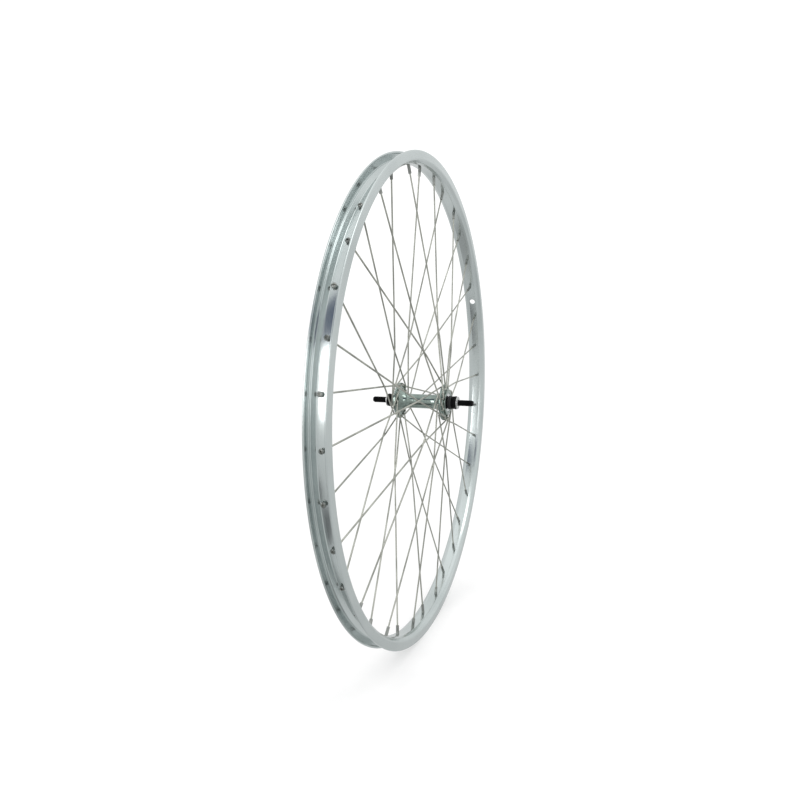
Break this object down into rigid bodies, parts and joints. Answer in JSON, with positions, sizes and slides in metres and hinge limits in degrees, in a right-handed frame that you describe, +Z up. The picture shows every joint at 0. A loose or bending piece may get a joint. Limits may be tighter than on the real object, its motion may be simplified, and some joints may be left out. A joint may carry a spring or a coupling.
{
  "type": "bicycle wheel",
  "caption": "Front bicycle wheel: hooked alloy rim, crossed wire spokes with nipples, flanged hub on cup-and-cone ball bearings, threaded solid axle.",
  "frame": {"origin": "centre of the wheel, on the axle's axis and in the rim's middle plane", "axes": "+Y along the axle to the wheel's left, +Z up, +X forwards"},
  "size_m": [0.6339, 0.14, 0.634],
  "materials": {
    "axle_black": "black oxide steel, slightly oily",
    "seal_rubber": "matt black rubber",
    "zinc_washer": "zinc-plated steel, serrated face",
    "ball_steel": "polished bearing steel",
    "retainer_steel": "stamped steel strip",
    "cup_steel": "ground hardened steel",
    "cap_chrome": "chromed pressed steel",
    "hub_alloy": "polished cast alloy",
    "spoke_steel": "galvanised drawn wire, satin grey",
    "nipple_nickel": "nickel-plated",
    "rim_alloy": "polished extruded aluminium"
  },
  "bodies": {
    "axle_assembly": {"axle": "axle_black", "cone_left": "axle_black", "cone_right": "axle_black", "cone_seal_left": "seal_rubber", "cone_seal_right": "seal_rubber", "locknut_left": "axle_black", "locknut_right": "axle_black", "end_washer_left": "zinc_washer", "end_washer_right": "zinc_washer"},
    "wheel": {"hub_shell": "hub_alloy", "bearing_cup_left": "cup_steel", "bearing_cup_right": "cup_steel", "dust_cap_left": "cap_chrome", "dust_cap_right": "cap_chrome", "spokes_left_outer": "spoke_steel", "spokes_left_inner": "spoke_steel", "spokes_right_outer": "spoke_steel", "spokes_right_inner": "spoke_steel", "nipples_left": "nipple_nickel", "nipples_right": "nipple_nickel", "rim_bed": "rim_alloy", "rim_wall_left": "rim_alloy", "rim_wall_right": "rim_alloy"},
    "ball_cage_left": {"bearing_balls_left": "ball_steel", "ball_retainer_left": "retainer_steel"},
    "ball_cage_right": {"bearing_balls_right": "ball_steel", "ball_retainer_right": "retainer_steel"}
  },
  "joints": [
    {"name": "wheel_spin", "type": "hinge", "parent": "axle_assembly", "child": "wheel", "pos_m": [0, 0, 0], "axis": [0, 1, 0], "continuous": true},
    {"name": "ball_cage_left_spin", "type": "hinge", "parent": "axle_assembly", "child": "ball_cage_left", "pos_m": [0, 0, 0], "axis": [0, 1, 0], "continuous": true},
    {"name": "ball_cage_right_spin", "type": "hinge", "parent": "axle_assembly", "child": "ball_cage_right", "pos_m": [0, 0, 0], "axis": [0, 1, 0], "continuous": true}
  ],
  "couplings": [
    {"joint": "ball_cage_left_spin", "follows": "wheel_spin", "ratio": 0.6},
    {"joint": "ball_cage_right_spin", "follows": "wheel_spin", "ratio": 0.6}
  ]
}
